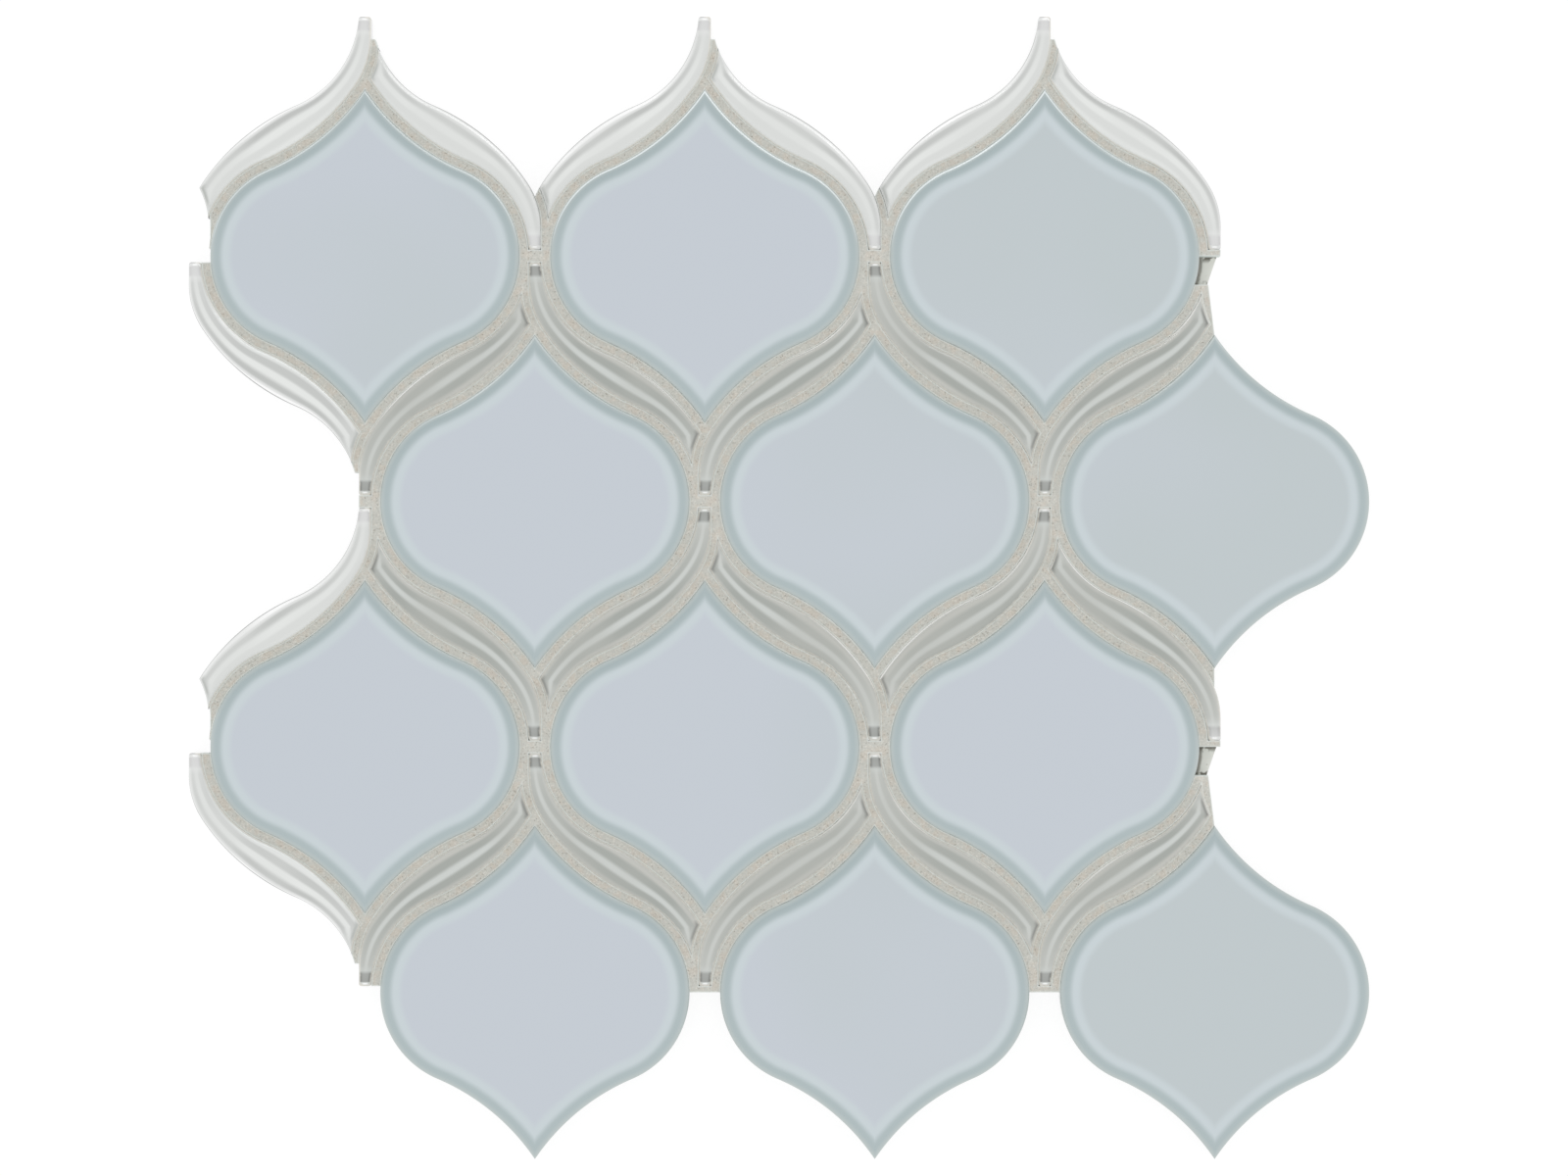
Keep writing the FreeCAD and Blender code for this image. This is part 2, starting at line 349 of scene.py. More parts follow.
def lantern_shape(sizes, plan):
    """A whole tile round the origin.

    Its section is spun about the belly and the neck, and the result cut at the tip and mirrored."""
    bm = bmesh.new()
    section = tile_section(bm, sizes)
    spun = bmesh.ops.spin(bm, geom=section, cent=plan.belly, axis=UP, angle=plan.sweep, steps=BELLY_STEPS)
    turn = plan.tip_slant - plan.sweep
    bmesh.ops.spin(bm, geom=spun["geom_last"], cent=plan.neck, axis=UP, angle=turn, steps=NECK_STEPS)
    bmesh.ops.bisect_plane(
        bm, geom=whole(bm), dist=MERGE, plane_co=(0, 0, 0), plane_no=(1, 0, 0), clear_inner=True
    )
    for axis in ("X", "Y"):
        bmesh.ops.mirror(bm, geom=whole(bm), matrix=Matrix(), merge_dist=WELD, axis=axis)
    bmesh.ops.remove_doubles(bm, verts=bm.verts, dist=WELD)
    fill_holes(bm)
    return bm


class MOSAIC_OT_lantern_tiles(bpy.types.Operator):
    """Make the twelve lantern tiles"""

    bl_idname = "mosaic.lantern_tiles"
    bl_label = "Lantern Tiles"

    def execute(self, context):
        sizes = sizes_now()
        plan = Plan(sizes)
        material = tile_glass()
        shape = lantern_shape(sizes, plan)
        draw = random.Random(SEED)
        for row in range(ROWS):
            for column in range(COLUMNS):
                bm = shape.copy()
                mark(bm, "tone", bm.verts, draw.uniform(-1, 1))
                bmesh.ops.translate(bm, verts=bm.verts, vec=plan.place(row, column))
                tile = finish_mesh(bm, f"lantern_tile_r{row + 1}_c{column + 1}", material)
                hand_over(tile, "tile_glass", f"lantern_tiles_row_{row + 1}")
        shape.free()
        return {"FINISHED"}


# Trim strips


def run(bm, verts, turns):
    """Carries a line of edges on from its last point through arcs.

    Each arc is a centre, an angle and a number of steps."""
    for centre, angle, steps in turns:
        before = set(bm.verts)
        bmesh.ops.spin(bm, geom=verts[-1:], cent=centre, axis=UP, angle=angle, steps=steps)
        verts = verts + [vert for vert in bm.verts if vert not in before]
    return verts


def strip_sides(bm, sizes, plan):
    """The long sides of a strip on a tile's upper right, blunt in the side neck and pointed above the tip."""
    joint = sizes.joint
    top = UP * GLASS_TOP
    belly_far = plan.belly_radius + joint
    flank_near = plan.flank_radius - joint
    half_turn = (
        Matrix.Translation(plan.middle) @ Matrix.Rotation(math.pi, 4, "Z") @ Matrix.Translation(-plan.middle)
    )
    outer_flank = half_turn @ plan.flank
    outer_neck = half_turn @ plan.neck
    outer_belly = half_turn @ plan.belly
    cut_start = meeting(plan.cut, plan.cut_radius, plan.flank, flank_near)
    cut_end = meeting(plan.cut, plan.cut_radius, outer_belly, belly_far)

    belly_steps, neck_steps, flank_steps, cut_steps = INNER_STEPS
    blunt_angle = math.asin(sizes.blunt_setback / belly_far)
    start = plan.belly + Vector((math.cos(blunt_angle), math.sin(blunt_angle), 0)) * belly_far
    flank_turn = heading(plan.flank - cut_start) - plan.tip_slant
    cut_turn = heading(cut_end - plan.cut) - heading(cut_start - plan.cut)
    inner = run(
        bm,
        [bm.verts.new(start + top)],
        (
            (plan.belly, plan.sweep - blunt_angle, belly_steps),
            (plan.neck, plan.tip_slant - plan.sweep, neck_steps),
            (plan.flank, flank_turn, flank_steps),
            (plan.cut, cut_turn, cut_steps),
        ),
    )

    stem_steps, flank_steps, neck_steps, belly_steps = OUTER_STEPS
    corner = Vector((plan.half_pitch + plan.half_stem, sizes.blunt_setback, 0))
    rise = Vector((0, (sizes.straight_level - sizes.blunt_setback) / stem_steps, 0))
    outer = [bm.verts.new(corner + top)]
    for step in range(stem_steps):
        up = bmesh.ops.extrude_vert_indiv(bm, verts=outer[-1:])["verts"]
        bmesh.ops.translate(bm, verts=up, vec=rise)
        outer += up
    last_turn = heading(outer_belly - cut_end) - plan.sweep
    outer = run(
        bm,
        outer,
        (
            (outer_flank, plan.tip_slant, flank_steps),
            (outer_neck, plan.sweep - plan.tip_slant, neck_steps),
            (outer_belly, last_turn, belly_steps),
        ),
    )
    return inner, outer


def strip_shape(sizes, plan):
    """A strip on the upper right of a tile at the origin, with softened edges and a flat back.

    Its vertices know how far across it they are, how wide it is there, and how near its rim and ends are."""
    bm = bmesh.new()
    across, width, breadth, rim, blunt, point = (
        bm.verts.layers.float.new(name) for name in ("across", "width", "breadth", "rim", "blunt", "point")
    )
    ends = [bm.verts.layers.float_vector.new(name) for name in ("inner", "outer")]
    inner, outer = strip_sides(bm, sizes, plan)
    start = inner[0].co.copy()
    end_normal = UP.cross(outer[0].co - start).normalized()
    for left, right in zip(inner, outer):
        gap = (left.co - right.co).length
        for vert, side in ((left, 0.0), (right, 1.0)):
            vert[across] = side
            vert[width] = gap
            vert[ends[0]] = left.co
            vert[ends[1]] = right.co
    widest = max(vert[width] for vert in bm.verts)
    bridged = bmesh.ops.bridge_loops(bm, edges=bm.edges)
    bmesh.ops.subdivide_edges(bm, edges=bridged["edges"], cuts=STRIP_CUTS, use_grid_fill=True)
    soft = sizes.strip_edge
    corner = sizes.corner_radius
    for vert in bm.verts:
        # The cuts are evenly spaced; the softened edges need them closer together than the middle.
        vert[across] = (1 - math.cos(math.pi * vert[across])) / 2
        vert.co = vert[ends[0]].lerp(vert[ends[1]], vert[across])
        vert[breadth] = max(0, vert[width] - sizes.stem_width) / (widest - sizes.stem_width)
        from_side = min(vert[across], 1 - vert[across]) * vert[width]
        from_end = abs((vert.co - start).dot(end_normal))
        from_cut = (vert.co.xy - plan.cut.xy).length - plan.cut_radius
        vert[rim] = min(from_side, from_end) / soft
        vert[blunt] = min(from_end / sizes.end_reach, 1)

        # The painted shade along the pointed end's cut is strongest at its outer corner, where the strip is
        # still wide.
        wide = max(0, min(1, 2 * vert[width] / sizes.stem_width - 1))
        vert[point] = wide * max(0, 1 - abs(from_cut - sizes.cut_shade_inset) / sizes.cut_shade_reach)
        inside = min(from_side, from_end, soft)
        vert.co.z = GLASS_TOP - soft + math.sqrt(max(0.0, soft**2 - (soft - inside) ** 2))
        if from_end < MERGE and from_side < corner:
            vert.co += end_normal * (corner - math.sqrt(corner**2 - (corner - from_side) ** 2))
    for layer in ("inner", "outer"):
        bm.verts.layers.float_vector.remove(bm.verts.layers.float_vector[layer])
    wall = bmesh.ops.extrude_edge_only(bm, edges=border(bm))["geom"]
    for vert in [item for item in wall if isinstance(item, bmesh.types.BMVert)]:
        vert.co.z = GLASS_BOTTOM
    bmesh.ops.remove_doubles(bm, verts=bm.verts, dist=WELD)
    fill_holes(bm)
    return bm


def is_free(row, column, side):
    """Whether a strip is at the sheet's border, with no tile across it."""
    across, up = SIDES[side]
    outer_row = row - up
    outer_column = column if across > 0 else column - 1
    return not (0 <= outer_row < ROWS and 0 <= outer_column < COLUMNS)


def free_blunt_end(bm):
    """Lets a strip turn free towards its blunt end, for a neck that has no tile across it."""
    free = bm.verts.layers.float["free"]
    blunt = bm.verts.layers.float["blunt"]
    for vert in bm.verts:
        vert[free] = max(vert[free], 1 - vert[blunt])


def placed_strip(shape, plan, row, column, side):
    """A copy of the strip's shape on one side of a tile, marked for how its glass looks there."""
    across, up = SIDES[side]
    bm = shape.copy()
    if across != up:
        turn = Matrix.Rotation(math.pi, 3, "Z")
        bmesh.ops.rotate(bm, verts=bm.verts, cent=plan.middle, matrix=turn)
        outwards = bm.verts.layers.float["across"]
        for vert in bm.verts:
            vert[outwards] = 1 - vert[outwards]
    bmesh.ops.scale(bm, verts=bm.verts, vec=(across, up, 1))
    bmesh.ops.translate(bm, verts=bm.verts, vec=plan.place(row, column))
    mark(bm, "free", bm.verts, float(is_free(row, column, side)))
    if column == COLUMNS - 1 and across == up == 1:
        free_blunt_end(bm)
    mark(bm, "lower", bm.verts, float(up < 0))
    return bm


class MOSAIC_OT_trim_strips(bpy.types.Operator):
    """Make the strips that frame the tiles of every second row"""

    bl_idname = "mosaic.trim_strips"
    bl_label = "Trim Strips"

    def execute(self, context):
        sizes = sizes_now()
        plan = Plan(sizes)
        material = strip_glass()
        shape = strip_shape(sizes, plan)
        draw = random.Random(SEED)
        for row in range(0, ROWS, 2):
            for column in range(COLUMNS):
                for side in SIDES:
                    bm = placed_strip(shape, plan, row, column, side)
                    mark(bm, "tone", bm.verts, draw.uniform(-1, 1))
                    name = f"trim_strip_r{row + 1}_c{column + 1}_{side}"
                    strip = finish_mesh(bm, name, material)
                    hand_over(strip, "trim_glass", f"trim_strips_row_{row + 1}")
        shape.free()
        return {"FINISHED"}


# Grout and backing mesh


def copy_of(node):
    """A copy of a solid's mesh with its loose triangles joined."""
    bm = bmesh.new()
    bm.from_mesh(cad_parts[node].data)
    bmesh.ops.remove_doubles(bm, verts=bm.verts, dist=MERGE)
    return bm


def upper_faces(bm):
    return [face for face in bm.faces if face.normal.z > FACING_UP]


def corners(faces):
    return list({vert for face in faces for vert in face.verts})


class MOSAIC_OT_grout(bpy.types.Operator):
    """Make the grout, with a thin lip along the glass"""

    bl_idname = "mosaic.grout"
    bl_label = "Grout"

    def execute(self, context):
        sizes = sizes_now()
        bm = copy_of("grout")
        mark(bm, "lip", bm.verts, 1.0)
        top = upper_faces(bm)
        bmesh.ops.inset_region(bm, faces=top, thickness=sizes.grout_lip, use_even_offset=True)
        inner = corners(top)
        mark(bm, "lip", inner, 0.0)
        bmesh.ops.translate(bm, verts=corners(upper_faces(bm)), vec=(0, 0, sizes.grout_rise))
        bmesh.ops.translate(bm, verts=inner, vec=(0, 0, -sizes.grout_sag))
        piece = finish_mesh(bm, "sanded_grout", sanded_grout())
        hand_over(piece, "grout", "grout")
        return {"FINISHED"}


def thread_grid(sizes):
    """Crossing threads in all the square meshes that lie wholly on the backing."""
    solid = copy_of("backing_mesh")
    backing = BVHTree.FromBMesh(solid)
    solid.free()
    low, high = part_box("backing_mesh")
    count = math.ceil(max(high - low) / sizes.thread_pitch)
    bm = bmesh.new()
    bmesh.ops.create_grid(
        bm, x_segments=count, y_segments=count, size=count * sizes.thread_pitch / 2,
        matrix=Matrix.Translation((0, 0, (low.z + high.z) / 2)),
    )
    beyond = [
        face for face in bm.faces
        if any(backing.ray_cast(vert.co + UP, -UP)[0] is None for vert in face.verts)
    ]
    bmesh.ops.delete(bm, geom=beyond, context="FACES")
    bmesh.ops.wireframe(
        bm, faces=bm.faces[:], thickness=sizes.thread_width, use_replace=True, use_boundary=True,
        use_even_offset=True,
    )
    return bm


def film_shape(sizes, plan, row):
    """The backing cut down to where it stays bare, in the neck at the right edge of a trimmed row."""
    neck = plan.place(row, COLUMNS - 1) + Vector((plan.half_pitch, 0, 0))
    cuts = (
        (Vector((-plan.half_neck - sizes.joint, 0, 0)), Vector((-1, 0, 0))),
        (Vector((0, sizes.straight_level, 0)), Vector((0, 1, 0))),
        (Vector((0, -sizes.straight_level, 0)), Vector((0, -1, 0))),
    )
    bm = copy_of("backing_mesh")
    for point, outwards in cuts:
        bmesh.ops.bisect_plane(
            bm, geom=whole(bm), dist=MERGE, plane_co=neck + point, plane_no=outwards, clear_outer=True
        )
        fill_holes(bm)
    return bm


class MOSAIC_OT_backing_mesh(bpy.types.Operator):
    """Make the woven mesh that the glass is stuck to, and the film that shows at its right edge"""

    bl_idname = "mosaic.backing_mesh"
    bl_label = "Backing Mesh"

    def execute(self, context):
        sizes = sizes_now()
        plan = Plan(sizes)
        piece = finish_mesh(thread_grid(sizes), "woven_backing", woven_thread())
        hand_over(piece, "backing_mesh", "backing_mesh")
        for row in range(0, ROWS, 2):
            material = bare_film(sizes, plan.place(row, COLUMNS - 1) + plan.belly)
            film = finish_mesh(film_shape(sizes, plan, row), f"bare_film_row_{row + 1}", material)
            hand_over(film, "backing_mesh", "backing_mesh")
        return {"FINISHED"}


# Materials


class Nodes:
    """The nodes of a new material or world, with helpers that add and join them."""

    def __init__(self, owner, shader="Principled BSDF"):
        owner.use_nodes = True
        self.owner = owner
        self.tree = owner.node_tree
        self.shader = self.tree.nodes[shader]

    def add(self, kind, **settings):
        node = self.tree.nodes.new(kind)
        for key, value in settings.items():
            setattr(node, key, value)
        return node

    def join(self, start, end):
        self.tree.links.new(start, end)

    def attribute(self, name):
        return self.add("ShaderNodeAttribute", attribute_name=name).outputs["Fac"]

    def place(self):
        return self.add("ShaderNodeTexCoord").outputs["Object"]

    def normal(self):
        return self.add("ShaderNodeTexCoord").outputs["Normal"]

    def noise(self, scale, detail=2.0, roughness=0.5):
        node = self.add("ShaderNodeTexNoise")
        node.inputs["Scale"].default_value = scale
        node.inputs["Detail"].default_value = detail
        node.inputs["Roughness"].default_value = roughness
        self.join(self.place(), node.inputs["Vector"])
        return node.outputs["Fac"]

    def ramp(self, factor, *stops, interpolation="LINEAR"):
        node = self.add("ShaderNodeValToRGB")
        node.color_ramp.interpolation = interpolation
        elements = node.color_ramp.elements
        while len(elements) < len(stops):
            elements.new(0.5)
        for element, (position, shade) in zip(elements, stops):
            element.position = position
            element.color = (*shade, 1) if hasattr(shade, "__len__") else (shade, shade, shade, 1)
        self.join(factor, node.inputs["Fac"])
        return node.outputs["Color"]

    def mix(self, factor, first, second):
        node = self.add("ShaderNodeMix", data_type="RGBA")
        for value, socket in ((factor, node.inputs[0]), (first, node.inputs[6]), (second, node.inputs[7])):
            if isinstance(value, bpy.types.NodeSocket):
                self.join(value, socket)
            elif hasattr(value, "__len__"):
                socket.default_value = (*value, 1)
            else:
                socket.default_value = value
        return node.outputs[2]

    def math(self, operation, *values):
        node = self.add("ShaderNodeMath", operation=operation)
        for value, socket in zip(values, node.inputs):
            if isinstance(value, bpy.types.NodeSocket):
                self.join(value, socket)
            else:
                socket.default_value = value
        return node.outputs[0]

    def part_of(self, vector, name):
        node = self.add("ShaderNodeSeparateXYZ")
        self.join(vector, node.inputs[0])
        return node.outputs[name]

    def grains(self):
        return self.noise(2300, 2.0, 0.6)

    def sand(self):
        """The colour of grout: cement with warmer patches and with dark and light grains."""
        shades = colours_now()
        grains = self.grains()
        warmer = self.ramp(self.noise(420, 3.0), (0.46, 0.0), (0.62, 0.55))
        body = self.mix(warmer, shades.grout_body, shades.grout_warm)
        darker = self.mix(self.ramp(grains, (0.28, 1.0), (0.39, 0.0)), body, shades.grout_dark)
        return self.mix(self.ramp(grains, (0.54, 0.0), (0.70, 0.85)), darker, shades.grout_light)

    def bump(self, height, distance, strength):
        node = self.add("ShaderNodeBump")
        node.inputs["Strength"].default_value = strength
        node.inputs["Distance"].default_value = distance
        self.join(height, node.inputs["Height"])
        self.join(node.outputs["Normal"], self.shader.inputs["Normal"])

    def finish(self, colour, roughness, ior=1.5):
        self.join(colour, self.shader.inputs["Base Color"])
        self.shader.inputs["Roughness"].default_value = roughness
        self.shader.inputs["IOR"].default_value = ior
        return self.owner

    def show_white(self, white, output, share=1.0):
        """Shows the camera, gloss and glass a white shader, by a share. The owner's own gives the light."""
        path = self.add("ShaderNodeLightPath").outputs
        seen = self.math("MAXIMUM", path["Is Camera Ray"], path["Is Glossy Ray"])
        seen = self.math("MAXIMUM", seen, path["Is Transmission Ray"])
        mix = self.add("ShaderNodeMixShader")
        self.join(self.math("MULTIPLY", seen, share), mix.inputs[0])
        self.join(self.shader.outputs[0], mix.inputs[1])
        self.join(white, mix.inputs[2])
        self.join(mix.outputs[0], self.tree.nodes[output].inputs["Surface"])


def tile_glass():
    """Back-painted pale blue glass, with painted shade and reflection in the softened edge and a painted ring
    of light inside that.

    The edges that face up the sheet carry a painted highlight, a thin light line, clearest in the top row."""
    shades = colours_now()
    nodes = Nodes(bpy.data.materials.new("tile_glass"))

    # The face takes a painted green reflection towards the sheet's right, in patches, and more in some tiles
    # than in others by their own tone.
    drift = nodes.math("MULTIPLY_ADD", nodes.part_of(nodes.place(), "X"), 4.0, 0.05)
    drift = nodes.math("ADD", drift, nodes.math("MULTIPLY_ADD", nodes.noise(10), 2.0, -1.0))
    drift = nodes.math("MULTIPLY_ADD", nodes.attribute("tone"), 0.6, drift)
    reflection_share = nodes.ramp(drift, (0.0, 0.0), (0.6, 1.0))
    face = nodes.mix(reflection_share, shades.tile_face, shades.tile_reflection_tint)

    # The edge carries more painted shade where it faces up the sheet. Its painted highlight, a thin light
    # line, comes and goes, and is clearest high up.
    facing = nodes.part_of(nodes.normal(), "Y")
    band = nodes.mix(nodes.ramp(facing, (0.0, 0.0), (0.7, 1.0)), shades.tile_band, shades.tile_shade)
    inset = nodes.attribute("inset")
    # A hairline of painted shadow at the foot of the edge
    seam_shadow = nodes.ramp(inset, (0.010, 0.35), (0.022, 0.0))
    rim = nodes.ramp(inset, (0.02, 0.0), (0.18, 1.0))
    ring = nodes.ramp(inset, (0.26, 0.0), (0.50, 1.0), interpolation="EASE")
    settled = nodes.ramp(inset, (0.56, 0.0), (0.82, 1.0), interpolation="EASE")
    line = nodes.ramp(inset, (0.012, 0.0), (0.026, 1.0), (0.064, 1.0), (0.088, 0.0))
    upwards = nodes.ramp(facing, (0.05, 0.0), (0.30, 1.0))
    up_sheet = nodes.math("MULTIPLY_ADD", nodes.part_of(nodes.place(), "Y"), 8.0, 0.05)
    patchy = nodes.math("ADD", up_sheet, nodes.math("MULTIPLY_ADD", nodes.noise(12, 1.0), 1.6, -0.8))
    lit = nodes.math("MULTIPLY", upwards, nodes.ramp(patchy, (0.50, 0.0), (0.95, 0.95)))

    # The softened edge carries painted shade and reflection, with a ring of painted light inside it.
    glass = nodes.mix(rim, shades.tile_rim, band)
    # Painted highlight along the edges that face up the sheet
    glass = nodes.mix(nodes.math("MULTIPLY", line, lit), glass, shades.tile_glint)
    glass = nodes.mix(seam_shadow, glass, shades.tile_seam_shadow)
    glass = nodes.mix(ring, glass, shades.tile_ring)
    glass = nodes.mix(settled, glass, face)
    return nodes.finish(glass, roughness=0.07)


def strip_bands(nodes, shades, free, across):
    """Light streaks of painted light and darker bands of painted shade, seen through the glass, that run
    along a strip, weaker in places and where it narrows.
    """
    tone = nodes.attribute("tone")
    lower = nodes.attribute("lower")

    # The bands wander across the strip, and lie further from the tile in the lower strips between tiles.
    shift = nodes.math("MULTIPLY_ADD", nodes.noise(28, 1.0), 0.24, -0.08)
    shift = nodes.math("MULTIPLY_ADD", tone, 0.04, shift)
    shifted = nodes.math("MULTIPLY", lower, nodes.math("SUBTRACT", 1.0, free))
    shift = nodes.math("MULTIPLY_ADD", shifted, -0.07, shift)
    wandering = nodes.math("ADD", across, shift)
    between = nodes.ramp(
        wandering,
        (0.06, shades.strip_edge),
        (0.20, shades.strip_band),
        (0.32, shades.strip_band),
        (0.46, shades.strip_streak),
        (0.53, shades.strip_streak),
        (0.65, shades.strip_band),
        (0.75, shades.strip_band),
        (0.91, shades.strip_edge),
        interpolation="EASE",
    )
    border = nodes.ramp(
        wandering,
        (0.08, shades.free_streak),
        (0.27, shades.free_body),
        (0.37, shades.free_body),
        (0.49, shades.free_streak),
        (0.59, shades.free_streak),
        (0.76, shades.free_band),
        (0.82, shades.free_band),
        (0.91, shades.free_edge),
        (0.965, shades.shine),
        interpolation="EASE",
    )

    # The lower strips at the sheet's border have a second band, nearer the tile.
    second = nodes.ramp(wandering, (0.16, 0.0), (0.25, 0.8), (0.38, 0.8), (0.49, 0.0), interpolation="EASE")
    border = nodes.mix(nodes.math("MULTIPLY", second, lower), border, shades.free_band)

    patches = nodes.math("MULTIPLY_ADD", tone, 0.06, nodes.noise(45, 1.0))
    weaker = nodes.ramp(patches, (0.40, 0.05), (0.62, 0.55))
    plain = nodes.mix(free, nodes.mix(0.4, shades.strip_edge, shades.strip_band), shades.free_body)
    glass = nodes.mix(weaker, nodes.mix(free, between, border), plain)
    narrow = nodes.ramp(nodes.attribute("breadth"), (0.03, 0.8), (0.60, 0.0))
    thin = nodes.mix(free, nodes.mix(0.5, shades.strip_edge, shades.strip_streak), shades.free_body)
    return nodes.mix(narrow, glass, thin)


def strip_end(nodes, shades, free, across, glass):
    """Adds a blunt end as painted refraction: paler glass of painted light before it, a block of painted
    shade with a painted highlight in it, and the line of the cut.
    """
    blunt = nodes.attribute("blunt")
    end = nodes.mix(free, shades.strip_end, shades.free_end)
    pale = nodes.mix(free, shades.strip_streak, shades.free_edge)
    glass = nodes.mix(nodes.ramp(blunt, (0.50, 0.85), (0.85, 0.0)), glass, pale)
    middle = nodes.ramp(across, (0.10, 1.0), (0.32, 0.55), (0.68, 0.55), (0.90, 1.0))
    block = nodes.ramp(blunt, (0.15, 0.0), (0.19, 1.0), (0.50, 0.9), (0.62, 0.0))
    glass = nodes.mix(nodes.math("MULTIPLY", block, middle), glass, end)
    spot = nodes.ramp(across, (0.2, 0.0), (0.4, 1.0), (0.6, 1.0), (0.8, 0.0))
    shine = nodes.ramp(blunt, (0.05, 0.0), (0.08, 1.0), (0.12, 1.0), (0.15, 0.0))
    glass = nodes.mix(nodes.math("MULTIPLY", shine, spot), glass, shades.shine)
    return nodes.mix(nodes.ramp(blunt, (0.0, 0.7), (0.04, 0.0)), glass, shades.strip_end)


def strip_rim(nodes, shades, free, across, glass):
    """Adds the haze of grout beside the joints, the painted shade at the pointed end's cut and the painted
    highlights on the edges.
    """
    outer = nodes.ramp(across, (0.4, 0.0), (0.6, 1.0))
    beside = nodes.math("SUBTRACT", 1.0, nodes.math("MULTIPLY", free, outer))
    rim = nodes.attribute("rim")
    rough_edge = nodes.math("MULTIPLY_ADD", nodes.noise(1100, 1.0), 0.3, rim)
    haze = nodes.math("MULTIPLY", beside, nodes.ramp(rough_edge, (0.22, 1.0), (0.52, 0.0)))
    lapped = nodes.mix(nodes.math("MULTIPLY_ADD", free, 0.2, 0.5), nodes.sand(), shades.grout_light)
    glass = nodes.mix(haze, glass, lapped)
    # Painted shade along the pointed end's cut
    cut_shade = nodes.mix(free, shades.strip_end, shades.strip_band)
    glass = nodes.mix(nodes.math("MULTIPLY", nodes.attribute("point"), 0.7), glass, cut_shade)

    # The edges that face up the sheet carry a painted highlight, a thin light line, in places.
    upwards = nodes.ramp(nodes.part_of(nodes.normal(), "Y"), (0.25, 0.0), (0.50, 1.0))
    line = nodes.ramp(rim, (0.08, 0.0), (0.14, 1.0), (0.26, 1.0), (0.36, 0.0))
    places = nodes.math("MULTIPLY_ADD", free, 0.05, nodes.noise(22, 1.0))
    shown = nodes.ramp(places, (0.50, 0.0), (0.62, 0.85))
    glint = nodes.math("MULTIPLY", nodes.math("MULTIPLY", upwards, line), shown)
    return nodes.mix(nodes.math("MULTIPLY", glint, beside), glass, shades.shine)


def strip_glass():
    """Clear glass over white, with painted refraction: a light streak between two darker bands, paler at the
    sheet's border.

    The cut ends show through the glass as painted shade and highlights, and the sides beside the joints are
    hazed with grout."""
    shades = colours_now()
    nodes = Nodes(bpy.data.materials.new("trim_glass"))
    free = nodes.attribute("free")
    across = nodes.attribute("across")
    glass = strip_bands(nodes, shades, free, across)
    outline = nodes.math("MULTIPLY", free, nodes.ramp(across, (0.965, 0.0), (0.985, 0.9)))
    glass = nodes.mix(outline, glass, shades.free_line)
    glass = strip_end(nodes, shades, free, across, glass)
    glass = strip_rim(nodes, shades, free, across, glass)

    # The walls keep none of what shows through the top.
    upright = nodes.ramp(nodes.part_of(nodes.normal(), "Z"), (0.0, 1.0), (0.08, 0.0))
    return nodes.finish(nodes.mix(upright, glass, shades.free_body), roughness=0.06)


def sanded_grout():
    """Matt warm grey cement with fine light and dark sand in it, paler where it laps the glass."""
    nodes = Nodes(bpy.data.materials.new("grout"))
    sand = nodes.sand()
    lip = nodes.math("MULTIPLY", nodes.attribute("lip"), 0.85)
    nodes.bump(nodes.grains(), distance=0.00015, strength=0.6)
    return nodes.finish(nodes.mix(lip, sand, colours_now().grout_edge), roughness=0.9)


def woven_thread():
    """Off-white glass-fibre thread with darker strands."""
    shades = colours_now()
    nodes = Nodes(bpy.data.materials.new("backing_mesh"))
    strands = nodes.noise(900, 2.0)
    shade = nodes.ramp(strands, (0.3, [part * 0.8 for part in shades.thread]), (0.7, shades.thread))
    nodes.bump(strands, distance=0.0001, strength=0.6)
    return nodes.finish(shade, roughness=0.8)


def bare_film(sizes, belly):
    """Pale, slightly glossy adhesive with a little dirt in it, shaded beside the tile's belly.

    Dark marks gather at both ends of the stretch that runs down the sheet from the belly's middle."""
    shades = colours_now()
    nodes = Nodes(bpy.data.materials.new("bare_film"))
    flat = nodes.add("ShaderNodeVectorMath", operation="MULTIPLY")
    nodes.join(nodes.place(), flat.inputs[0])
    flat.inputs[1].default_value = (1, 1, 0)
    way = nodes.add("ShaderNodeVectorMath", operation="DISTANCE")
    nodes.join(flat.outputs["Vector"], way.inputs[0])
    way.inputs[1].default_value = (belly.x, belly.y, 0)
    from_belly = nodes.math("SUBTRACT", way.outputs["Value"], sizes.belly_radius)
    from_belly = nodes.math("DIVIDE", from_belly, sizes.film_shade)
    uneven = nodes.math("MULTIPLY_ADD", nodes.noise(500), 0.2, from_belly)
    beside = nodes.ramp(uneven, (0.46, 0.7), (0.64, 0.0))
    dirt = nodes.ramp(nodes.noise(700, 2.0), (0.64, 0.0), (0.72, 0.6))
    from_start = nodes.math("SUBTRACT", belly.y, nodes.part_of(nodes.place(), "Y"))
    share = nodes.math("DIVIDE", from_start, sizes.straight_level)
    ends = nodes.ramp(share, (0.06, 1.0), (0.22, 0.0), (0.80, 0.0), (0.94, 1.0))
    marks = nodes.math("MULTIPLY", ends, nodes.ramp(nodes.noise(650, 1.0), (0.49, 0.0), (0.56, 0.9)))
    nodes.bump(nodes.noise(500), distance=0.0002, strength=0.5)
    film = nodes.mix(dirt, shades.film, shades.grout_dark)
    film = nodes.mix(marks, film, shades.gap)
    return nodes.finish(nodes.mix(beside, film, shades.gap), roughness=0.4)


# Stage


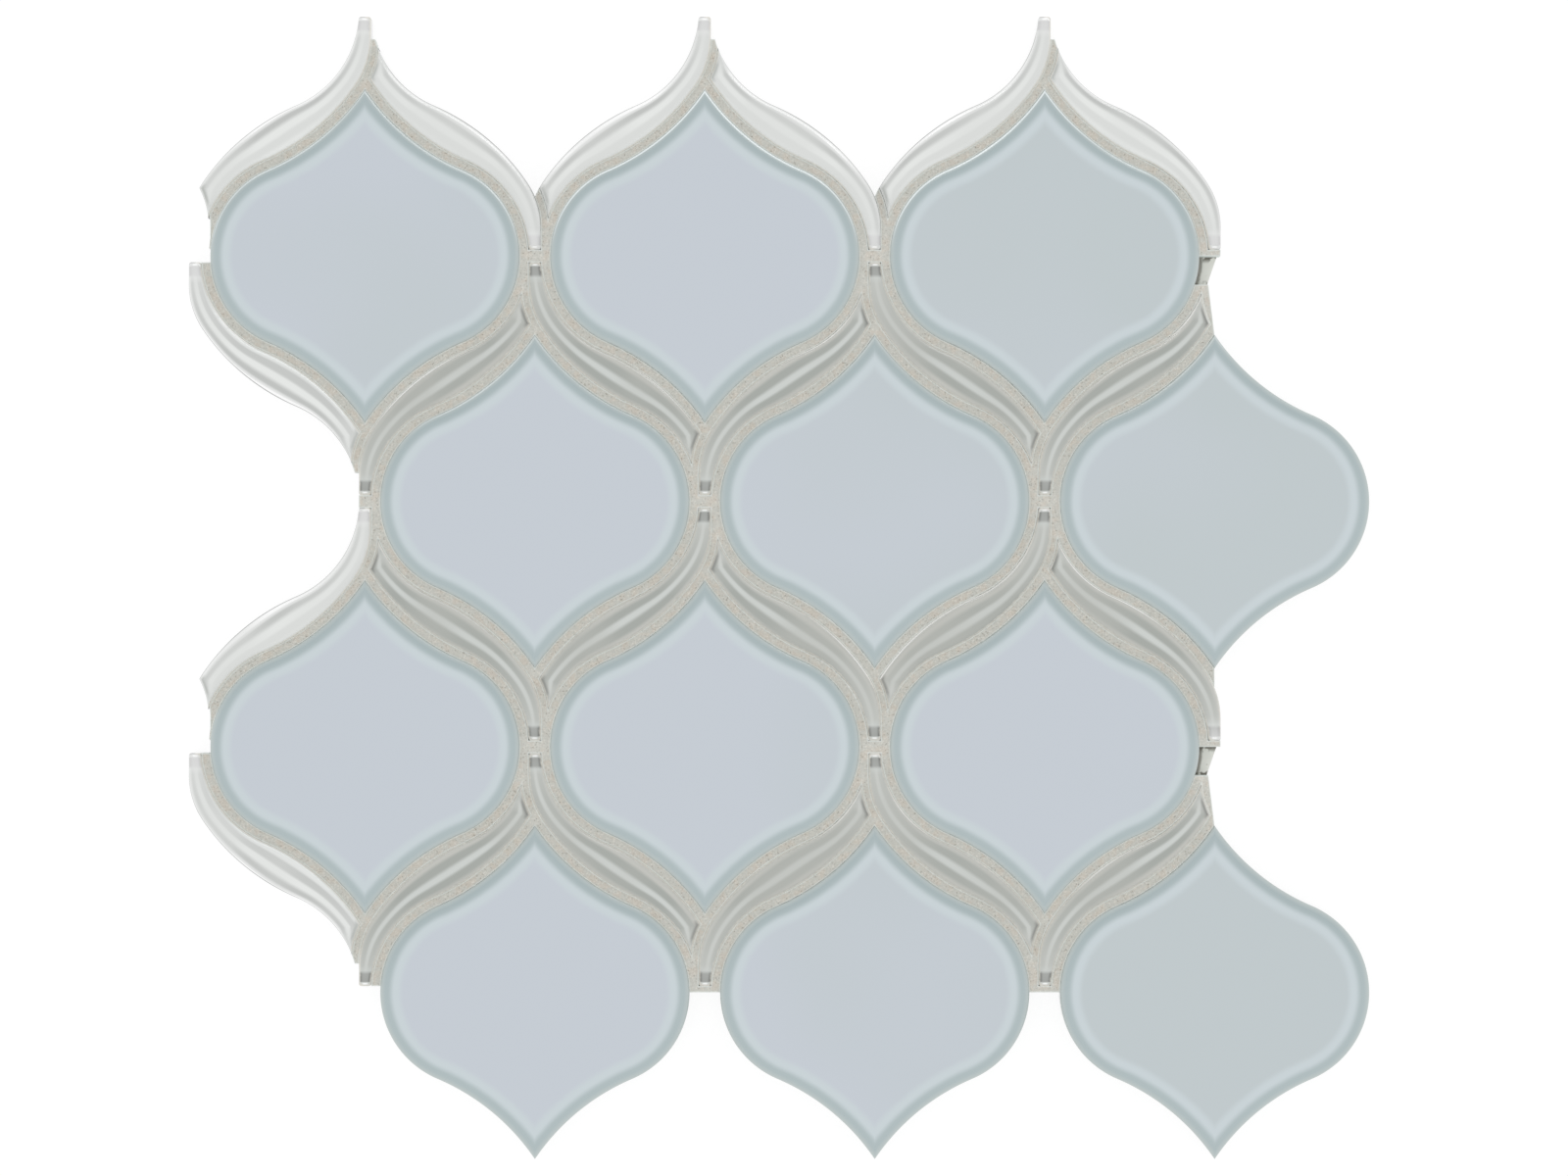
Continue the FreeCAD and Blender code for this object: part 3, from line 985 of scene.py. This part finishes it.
def floor_material():
    """Matt white that looks white and still keeps some of the sheet's shadow."""
    stage = stage_now()
    backdrop = (*colours_now().backdrop, 1)
    nodes = Nodes(bpy.data.materials.new("floor"))
    nodes.shader.inputs["Base Color"].default_value = backdrop
    nodes.shader.inputs["Roughness"].default_value = 0.9
    nodes.shader.inputs["Specular IOR Level"].default_value = 0
    glow = nodes.add("ShaderNodeEmission")
    glow.inputs["Color"].default_value = backdrop
    glow.inputs["Strength"].default_value = stage.floor_glow
    nodes.show_white(glow.outputs[0], "Material Output", stage.floor_share)
    return nodes.owner


def set_world(strength):
    """Gives even light from all round, before a plain white background."""
    nodes = Nodes(bpy.data.worlds.new("soft_light"), "Background")
    white = nodes.add("ShaderNodeBackground")
    for shader, brightness in ((nodes.shader, strength), (white, 1.0)):
        shader.inputs["Color"].default_value = (1, 1, 1, 1)
        shader.inputs["Strength"].default_value = brightness
    nodes.show_white(white.outputs[0], "World Output")
    bpy.context.scene.world = nodes.owner


def add_lamp(name, place, aim, width, depth, power):
    """Adds an oblong lamp that shows in the glass but leaves matt surfaces alone."""
    lamp = bpy.data.lights.new(name, "AREA")
    lamp.shape = "RECTANGLE"
    lamp.size = width
    lamp.size_y = depth
    lamp.energy = power
    holder = bpy.data.objects.new(name, lamp)
    holder.location = place
    holder.rotation_euler = (Vector(aim) - Vector(place)).to_track_quat("-Z", "Y").to_euler()
    holder.visible_diffuse = False
    bpy.context.scene.collection.objects.link(holder)


class MOSAIC_OT_stage(bpy.types.Operator):
    """Set up the floor, the light and the camera straight above the sheet"""

    bl_idname = "mosaic.stage"
    bl_label = "Stage"

    def execute(self, context):
        stage = stage_now()
        bm = bmesh.new()
        bmesh.ops.create_grid(bm, x_segments=1, y_segments=1, size=stage.floor_half)
        floor = finish_mesh(bm, "floor", floor_material())
        set_world(stage.sky_light)
        add_lamp("rim_lamp", *RIM_LAMP, stage.rim_power)
        add_lamp("side_lamp", *SIDE_LAMP, stage.side_power)
        camera = bpy.data.cameras.new("camera")
        camera.sensor_width = 36
        camera.lens = camera.sensor_width * stage.camera_height / stage.view_width
        holder = bpy.data.objects.new("camera", camera)
        holder.location = (stage.view_shift, 0, GLASS_TOP + stage.camera_height)
        context.scene.collection.objects.link(holder)
        context.scene.camera = holder
        context.scene.view_settings.view_transform = "Standard"
        return {"FINISHED"}


class MOSAIC_PT_sheet(bpy.types.Panel):
    """Buttons for the pieces and the stage, and their settings"""

    bl_label = "Mosaic Sheet"
    bl_space_type = "VIEW_3D"
    bl_region_type = "UI"
    bl_category = "Mosaic"

    def draw(self, context):
        for operator in OPERATORS:
            self.layout.operator(operator.bl_idname)
        for group in (sizes_now(), colours_now(), stage_now()):
            box = self.layout.box()
            for name in group.__annotations__:
                box.prop(group, name)


OPERATORS = (
    MOSAIC_OT_lantern_tiles,
    MOSAIC_OT_trim_strips,
    MOSAIC_OT_grout,
    MOSAIC_OT_backing_mesh,
    MOSAIC_OT_stage,
)
GROUPS = {"sheet_sizes": SheetSizes, "sheet_colours": SheetColours, "sheet_stage": StageSettings}


def register():
    for cls in (*GROUPS.values(), *OPERATORS, MOSAIC_PT_sheet):
        bpy.utils.register_class(cls)
    for name, group in GROUPS.items():
        setattr(bpy.types.Scene, name, bpy.props.PointerProperty(type=group))


def unregister():
    for name in GROUPS:
        delattr(bpy.types.Scene, name)
    for cls in (MOSAIC_PT_sheet, *reversed(OPERATORS), *reversed(GROUPS.values())):
        bpy.utils.unregister_class(cls)


def main():
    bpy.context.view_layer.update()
    register()
    bpy.ops.mosaic.lantern_tiles()
    bpy.ops.mosaic.trim_strips()
    bpy.ops.mosaic.grout()
    bpy.ops.mosaic.backing_mesh()
    bpy.ops.mosaic.stage()


if __name__ == "__main__":
    main()
